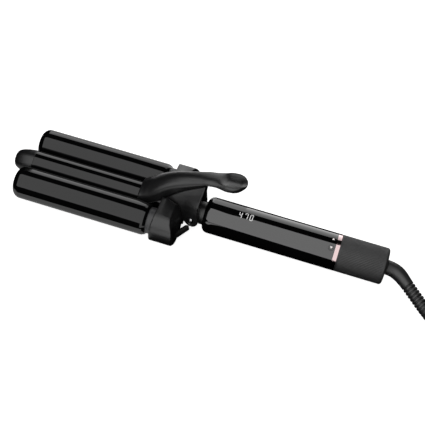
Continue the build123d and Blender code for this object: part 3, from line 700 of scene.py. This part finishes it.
# --------------------------------------------------------- yoke and brackets
def softened(name, node, voxel, rounds, material, body):
    """The node's shape with its edges rounded over, as a moulding has them."""
    ob = new_object(name, nodes[node].data.copy(), material, body, [node])
    bm = bmesh.new()
    bm.from_mesh(ob.data)
    bmesh.ops.remove_doubles(bm, verts=bm.verts, dist=1e-6)
    bm.to_mesh(ob.data)
    bm.free()
    add_modifier(ob, "REMESH", mode="VOXEL", voxel_size=voxel / 1000, use_smooth_shade=True)
    add_modifier(ob, "CORRECTIVE_SMOOTH", iterations=rounds, factor=0.5, smooth_type="SIMPLE", use_only_smooth=True)
    settle(ob)
    ob.data.materials.clear()
    ob.data.materials.append(material)
    return ob


softened("moulded_yoke", "yoke", 0.42, 5, MATT_BLACK, "clamp")
softened("front_socket", "front_bracket", 0.45, 6, MATT_BLACK, "clamp")
softened("back_socket", "back_bracket", 0.45, 6, MATT_BLACK, "clamp")


# ------------------------------------------------------------- wire sleeves
def wire_sleeve(side, name, node):
    a, b = Vector((-7.0, side * 27.4, -5.4)), Vector((0.2, side * 14.9, -4.9))
    d = (b - a).normalized()
    length = (b - a).length
    line = [a + d * (length * k / 48) for k in range(49)]

    def radius(s):
        q = 2.6 + (2.3 - 2.6) * s / length
        if s > length - 0.5:
            q -= 0.35 * smooth((s - length + 0.5) / 0.5)
        return q + 0.05 * math.sin(2 * math.pi * s / 1.2) * smooth(s / 2) * smooth((length - 1.5 - s) / 1.0)

    sleeve = new_object(name, sweep(name, line, radius, 32), SLEEVE_BLACK, "clamp", [node])
    wires = bpy.data.curves.new(name + "_wires", "CURVE")
    wires.dimensions = "3D"
    for shift in (-0.42, 0.42):
        start = b - d * 0.6 + Vector((shift, 0, 0.1))
        spans = [start, b + d * 0.2 + Vector((shift, 0, 0.7)), Vector((0.75 + shift, side * 14.35, -2.6)), Vector((1.0 + shift * 0.8, side * 14.1, -0.9))]
        s = wires.splines.new("NURBS")
        s.points.add(3)
        for p, q in zip(s.points, spans):
            p.co = (*S(*q), 1.0)
        s.order_u = 3
        s.use_endpoint_u = True
        s.resolution_u = 8
    wires.bevel_depth = 0.00030
    wires.bevel_resolution = 3
    wires.use_fill_caps = True
    ob = bpy.data.objects.new(name + "_wires_line", wires)
    scene.collection.objects.link(ob)
    bpy.context.view_layer.update()
    mesh = bpy.data.meshes.new_from_object(ob.evaluated_get(bpy.context.evaluated_depsgraph_get()))
    bpy.data.objects.remove(ob)
    bpy.data.curves.remove(wires)
    mesh.name = name + "_wires"
    new_object(name + "_wires", mesh, WIRE_GREY, "clamp")
    return sleeve


wire_sleeve(-1, "front_sleeve", "front_wire_sleeve")
wire_sleeve(1, "back_sleeve", "back_wire_sleeve")


# ------------------------------------------------------- digits and marks
def on_handle(x, degrees, r):
    """Point of the handle's surface; degrees run from the display side up."""
    a = math.radians(degrees)
    return S(x, -r * math.cos(a), r * math.sin(a))


def curved_patch(bm, outline, x0, angle0, r0, r1):
    """Thin plate on the handle's surface; outline rows are (along, round) in mm."""
    low = [bm.verts.new(on_handle(x0 + u, angle0 + math.degrees(v / r1), r0)) for u, v in outline]
    top = [bm.verts.new(on_handle(x0 + u, angle0 + math.degrees(v / r1), r1)) for u, v in outline]
    n = len(outline)
    bm.faces.new(top)
    bm.faces.new(list(reversed(low)))
    for i in range(n):
        j = (i + 1) % n
        bm.faces.new((low[i], low[j], top[j], top[i]))


DIGIT_W, DIGIT_H, STROKE = 2.4, 5.35, 0.50


def segment(kind):
    """Outline of one lit segment in the cell, pointed at both ends."""
    w, h, s = DIGIT_W, DIGIT_H, STROKE
    gap = 0.05
    half = h / 2
    if kind in "lr":
        x = s / 2 if kind == "l" else w - s / 2
        y0, y1 = s / 2 + gap, h - s / 2 - gap
        up = [(x + s / 2, y0 + s / 2 + (y1 - y0 - s) * k / 8) for k in range(9)]
        return [(x, y0)] + up + [(x, y1)] + [(px - s, py) for px, py in reversed(up)]
    if kind in "adg":
        y = {"a": h - s / 2, "d": s / 2, "g": half}[kind]
        x0, x1 = s / 2 + gap, w - s / 2 - gap
        return [(x0, y), (x0 + s / 2, y - s / 2), (x1 - s / 2, y - s / 2), (x1, y), (x1 - s / 2, y + s / 2), (x0 + s / 2, y + s / 2)]
    x = {"b": w - s / 2, "c": w - s / 2, "e": s / 2, "f": s / 2}[kind]
    y0, y1 = (half + gap, h - s / 2 - gap) if kind in "bf" else (s / 2 + gap, half - gap)
    pts = [(x, y0), (x + s / 2, y0 + s / 2)]
    steps = 4
    for k in range(1, steps):
        pts.append((x + s / 2, y0 + s / 2 + (y1 - y0 - s) * k / steps))
    pts += [(x + s / 2, y1 - s / 2), (x, y1), (x - s / 2, y1 - s / 2)]
    for k in range(steps - 1, 0, -1):
        pts.append((x - s / 2, y0 + s / 2 + (y1 - y0 - s) * k / steps))
    pts.append((x - s / 2, y0 + s / 2))
    return pts


bm = bmesh.new()
for x0, angle0, lit in ((35.6, 61.2, "fgbc"), (40.1, 62.4, "fabc"), (44.05, 62.4, "adlr")):
    for kind in lit:
        outline = segment(kind)
        if lit == "fabc" and kind == "f":
            outline = [(u, v if v > 3.9 else 3.9) for u, v in outline]
        slant = 0.035
        curved_patch(bm, [(u + slant * v, v) for u, v in outline], x0, angle0, 14.12, 14.19)
bmesh.ops.recalc_face_normals(bm, faces=bm.faces)
digits = bpy.data.meshes.new("temperature_digits")
bm.to_mesh(digits)
bm.free()
new_object("temperature_digits", digits, LIT, "body")


def button_mark(name, body, x, degrees, up):
    """Rounded triangle on a button's cap, which stands a little proud of the shell."""
    bm = bmesh.new()
    size = 0.84
    pts = []
    for k in range(3):
        a = math.radians((90 if up else -90) + 120 * k)
        for q in (-24, 0, 24):
            b = a + math.radians(q)
            pts.append((size * 0.74 * math.cos(a) + size * 0.26 * math.cos(b) * 1.6, size * 0.74 * math.sin(a) + size * 0.26 * math.sin(b) * 1.6))
    curved_patch(bm, pts, x, degrees, 14.24, 14.31)
    bmesh.ops.recalc_face_normals(bm, faces=bm.faces)
    mesh = bpy.data.meshes.new(name)
    bm.to_mesh(mesh)
    bm.free()
    new_object(name, mesh, MARK_WITH_PAINTED_GLOW, body)


button_mark("up_mark", "up_key", 108.2, 82.6, True)
button_mark("down_mark", "down_key", 108.2, 55.2, False)

# -------------------------------------------------------------- plug and tie
PLUG = Vector((286.292, -44.247, 9.75))
PLUG_DIR = Vector((0.54565, 0.83801, 0.0))
PLUG_SIDE = Vector((0.83801, -0.54565, 0.0))


def plug_ring(s, height, width, power, count=64):
    ring = []
    for i in range(count):
        a = 2 * math.pi * i / count
        c, d = math.cos(a), math.sin(a)
        u = width / 2 * math.copysign(abs(c) ** (2 / power), c)
        v = height / 2 * math.copysign(abs(d) ** (2 / power), d)
        ring.append(S(*(PLUG + PLUG_DIR * s + PLUG_SIDE * u + Vector((0, 0, v)))))
    return ring


plug_rows = [(0.0, 7.4, 7.4, 2.0), (0.05, 8.6, 8.6, 2.0), (0.4, 9.4, 9.4, 2.0)]
for k in range(5):
    s = 1.0 + 2.3 * k
    grow = 9.6 + 0.45 * k
    plug_rows += [(s, grow, grow, 2.0), (s + 0.9, grow + 0.1, grow + 0.1, 2.0), (s + 1.1, grow - 0.9, grow - 0.9, 2.0), (s + 1.9, grow - 0.8, grow - 0.8, 2.0), (s + 2.1, grow + 0.3, grow + 0.3, 2.0)]
plug_rows += [(12.9, 12.0, 12.2, 2.1), (13.6, 12.9, 14.0, 2.4), (14.3, 13.7, 17.2, 3.0), (15.2, 14.3, 20.0, 3.8), (16.4, 14.7, 21.4, 4.4), (17.2, 14.75, 21.7, 4.6)]
for k in range(5):
    s = 18.2 + 2.1 * k
    plug_rows += [(s, 14.8, 21.8, 4.8), (s + 0.35, 14.7, 20.9, 4.8), (s + 1.1, 14.7, 20.7, 4.8), (s + 1.45, 14.8, 21.8, 4.8)]
plug_rows += [(29.6, 14.9, 21.9, 5.0), (31.2, 15.0, 22.0, 5.0), (31.9, 15.2, 22.3, 5.0), (32.1, 16.6, 23.9, 5.0), (32.5, 17.3, 24.6, 5.0), (33.1, 17.55, 24.9, 5.0),
              (35.6, 17.55, 24.9, 5.0), (36.4, 17.3, 24.6, 5.0), (36.85, 16.7, 24.0, 5.0), (37.0, 15.8, 23.1, 5.0), (37.0, 9.0, 14.0, 4.0)]
plug = new_object("moulded_plug", rings_mesh("moulded_plug", [plug_ring(*row) for row in plug_rows]), PLUG_BLACK, "body", ["plug_body"])


def blade(bm, side):
    """Flat contact blade with a rounded tip and its hole."""
    half, wide = 0.75, 3.15
    outer = [(36.0, -wide), (36.0, wide)]
    outer += [(50.8 + 2.64 * math.sin(math.radians(a)), wide - 1.5 + 1.5 * math.cos(math.radians(a))) for a in range(0, 91, 15)]
    outer += [(50.8 + 2.64 * math.sin(math.radians(a)), -wide + 1.5 - 1.5 * math.cos(math.radians(a))) for a in range(90, -1, -15)]
    hole = [(48.2 + 1.6 * math.cos(2 * math.pi * k / 20), 1.6 * math.sin(2 * math.pi * k / 20)) for k in range(20)]

    def layer(pts, off):
        return [bm.verts.new(S(*(PLUG + PLUG_DIR * s + PLUG_SIDE * (side * 6.35 + off) + Vector((0, 0, v))))) for s, v in pts]

    o0, o1, h0, h1 = layer(outer, -half), layer(outer, half), layer(hole, -half), layer(hole, half)
    for o, h in ((o0, h0), (o1, h1)):
        edges = []
        for ring in (o, h):
            for i in range(len(ring)):
                edges.append(bm.edges.get((ring[i], ring[(i + 1) % len(ring)])) or bm.edges.new((ring[i], ring[(i + 1) % len(ring)])))
        bmesh.ops.triangle_fill(bm, use_beauty=True, use_dissolve=False, edges=edges)
    for a, b in ((o0, o1), (h0, h1)):
        for i in range(len(a)):
            j = (i + 1) % len(a)
            bm.faces.new((a[i], a[j], b[j], b[i]))


bm = bmesh.new()
for side in (-1, 1):
    blade(bm, side)
bmesh.ops.recalc_face_normals(bm, faces=bm.faces)
blades_mesh = bpy.data.meshes.new("contact_blades")
bm.to_mesh(blades_mesh)
bm.free()
blades = new_object("contact_blades", blades_mesh, BRASS, "body", ["plug_blades"])

TIE = math.radians(150)
tie_out = Vector((math.cos(TIE), math.sin(TIE), 0))
tie_along = Vector((-math.sin(TIE), math.cos(TIE), 0))
tie_mid = Vector((COIL_X, COIL_Y, 0)) + tie_out * 41.5 + Vector((0, 0, -6.25))


def tie_loop(grow, along, count=72):
    """Rounded rectangle round the coil's section."""
    a, b, c = 10.4 + 0.52 + grow, 7.0 + 0.05 + grow, 2.6 + grow
    pts = []
    for k in range(count):
        t = 2 * math.pi * (k + 0.5) / count
        cs, sn = math.cos(t), math.sin(t)
        u = math.copysign(min(a, (a - c) + c * abs(cs) if abs(cs) * (b) > 0 else a), cs)
        # a superellipse hugs the bundle and keeps its corners round
        u = a * math.copysign(abs(cs) ** 0.36, cs)
        v = b * math.copysign(abs(sn) ** 0.36, sn)
        pts.append(S(*(tie_mid + tie_out * u + Vector((0, 0, v)) + tie_along * along)))
    return pts


tie_rows = [(0.08, -4.5), (0.08, -2.0), (0.08, 2.0), (0.08, 4.5), (0.3, 4.62), (0.62, 4.5), (0.74, 4.0), (0.78, 0.0), (0.74, -4.0), (0.62, -4.5), (0.3, -4.62)]
tie = new_object("woven_tie", rings_mesh("woven_tie", [tie_loop(*row) for row in tie_rows], "loop"), STRAP, "body", ["cord_tie"])


# --------------------------------------------------------- floor and lights
def emission(name, strength, colour=(1, 1, 1)):
    m = bpy.data.materials.new(name)
    m.use_nodes = True
    t = m.node_tree
    t.nodes.clear()
    e = t.nodes.new("ShaderNodeEmission")
    e.inputs["Color"].default_value = (*colour, 1)
    e.inputs["Strength"].default_value = strength
    o = t.nodes.new("ShaderNodeOutputMaterial")
    t.links.new(e.outputs[0], o.inputs["Surface"])
    return m


def emission_ramp(name, axis, p_a, v_a, p_b, v_b):
    """Emission that changes evenly along one axis of the frame, in mm."""
    m = emission(name, 1.0)
    t = m.node_tree
    where = t.nodes.new("ShaderNodeTexCoord")
    split = t.nodes.new("ShaderNodeSeparateXYZ")
    ramp = t.nodes.new("ShaderNodeMapRange")
    for key, value in (("From Min", S(p_a, 0, 0)[0] if axis == "X" else p_a / 1000), ("From Max", S(p_b, 0, 0)[0] if axis == "X" else p_b / 1000), ("To Min", v_a), ("To Max", v_b)):
        ramp.inputs[key].default_value = value
    t.links.new(where.outputs["Object"], split.inputs[0])
    t.links.new(split.outputs[axis], ramp.inputs["Value"])
    e = [k for k in t.nodes if k.type == "EMISSION"][0]
    t.links.new(ramp.outputs["Result"], e.inputs["Strength"])
    return m


def card(name, strength, low, high, x0=-600.0, x1=500.0, radius=1400.0, diffuse=True, glossy=True):
    """Soft white panel, part of a large cylinder round the waver's axis. low(x)
    and high(x) are its edges, in degrees from the display side up."""
    rows, cols = 24, 24
    rings = []
    for i in range(rows + 1):
        x = x0 + (x1 - x0) * i / rows
        a0, a1 = low(x), high(x)
        ring = []
        for j in range(cols + 1):
            a = math.radians(a0 + (a1 - a0) * j / cols)
            ring.append(S(x, -radius * math.cos(a), radius * math.sin(a)))
        rings.append(ring)
    ob = bpy.data.objects.new(name, rings_mesh(name, rings, "open", False))
    scene.collection.objects.link(ob)
    ob.data.materials.append(strength if isinstance(strength, bpy.types.Material) else emission(name, strength))
    ob.visible_camera = False
    ob.visible_shadow = False
    ob.visible_transmission = False
    ob.visible_diffuse = diffuse
    ob.visible_glossy = glossy
    return ob


def line(x_a, v_a, x_b, v_b, end=9999.0):
    return lambda x: v_a + (v_b - v_a) * (min(max(x, x_a), end) - x_a) / (x_b - x_a)


card("softbox", 1.35, line(-380, 7.0, 0, -5.7), line(-380, 98.0, 0, 80.0), x0=-1300.0, x1=420.0)
card("softbox_step", 1.35, line(-380, 98.0, 0, 80.0), lambda x: 91.2, x0=-64.0, x1=420.0)
card("back_panel", emission_ramp("back_panel", "X", -380, 1.55, 0, 1.0), line(-380, 137.6, -95, 127.3, -95), line(-380, 174.0, 0, 179.5, 0), x0=-590.0, x1=-78.0)
card("back_panel_rear", emission_ramp("back_panel_rear", "Z", 1000, 1.0, 0, 2.4), lambda x: 127.3, lambda x: 180.6, x0=-78.0, x1=420.0)


def plane(name, x0, x1, y0, y1, z, material):
    ob = bpy.data.objects.new(name, rings_mesh(name, [[S(x, y0, z), S(x, y1, z)] for x in (x0, x1)], "open", False))
    scene.collection.objects.link(ob)
    ob.data.materials.append(material)
    return ob


floor_mat = bpy.data.materials.new("pale_floor")
floor_mat.use_nodes = True
fb = floor_mat.node_tree.nodes["Principled BSDF"]
fb.inputs["Base Color"].default_value = (0.9, 0.9, 0.9, 1)
fb.inputs["Roughness"].default_value = 0.9
fb.inputs["Specular IOR Level"].default_value = 0.0
fb.inputs["Emission Color"].default_value = (1, 1, 1, 1)
fb.inputs["Emission Strength"].default_value = 0.86
floor = plane("floor", -6000, 6000, -6000, 6000, -14.15, floor_mat)
floor.visible_glossy = False
floor.visible_diffuse = False

under = plane("under_card", -160, -26, -52.5, 52.5, -14.08, emission_ramp("under_card", "Y", -50, 1.15, -34, 0.42))
under.visible_camera = False
under.visible_diffuse = False
under.visible_shadow = False

side = bpy.data.objects.new("side_card", rings_mesh("side_card", [[S(-38, -66, -14.08), S(-80, -300, -14.08)], [S(9, -66, -14.08), S(0, -300, -14.08)]], "open", False))
scene.collection.objects.link(side)
side.data.materials.append(emission("side_card", 1.15))
rear = bpy.data.objects.new("rear_card", rings_mesh("rear_card", [[S(-146, 52.6, -14.08), S(-358, 700, -14.08)], [S(4, 52.6, -14.08), S(-40, 700, -14.08)]], "open", False))
scene.collection.objects.link(rear)
rear.data.materials.append(emission("rear_card", 0.95))
for ob in (side, rear):
    ob.visible_camera = False
    ob.visible_diffuse = False
    ob.visible_shadow = False

world = bpy.data.worlds.new("studio")
scene.world = world
world.use_nodes = True
wt = world.node_tree
back = wt.nodes["Background"]
path = wt.nodes.new("ShaderNodeLightPath")
pick = wt.nodes.new("ShaderNodeMapRange")
pick.inputs["To Min"].default_value = 0.12
pick.inputs["To Max"].default_value = 1.0
wt.links.new(path.outputs["Is Camera Ray"], pick.inputs["Value"])
wt.links.new(pick.outputs["Result"], back.inputs["Strength"])
back.inputs["Color"].default_value = (1, 1, 1, 1)
world.cycles_visibility.glossy = False
scene.view_settings.view_transform = "Standard"
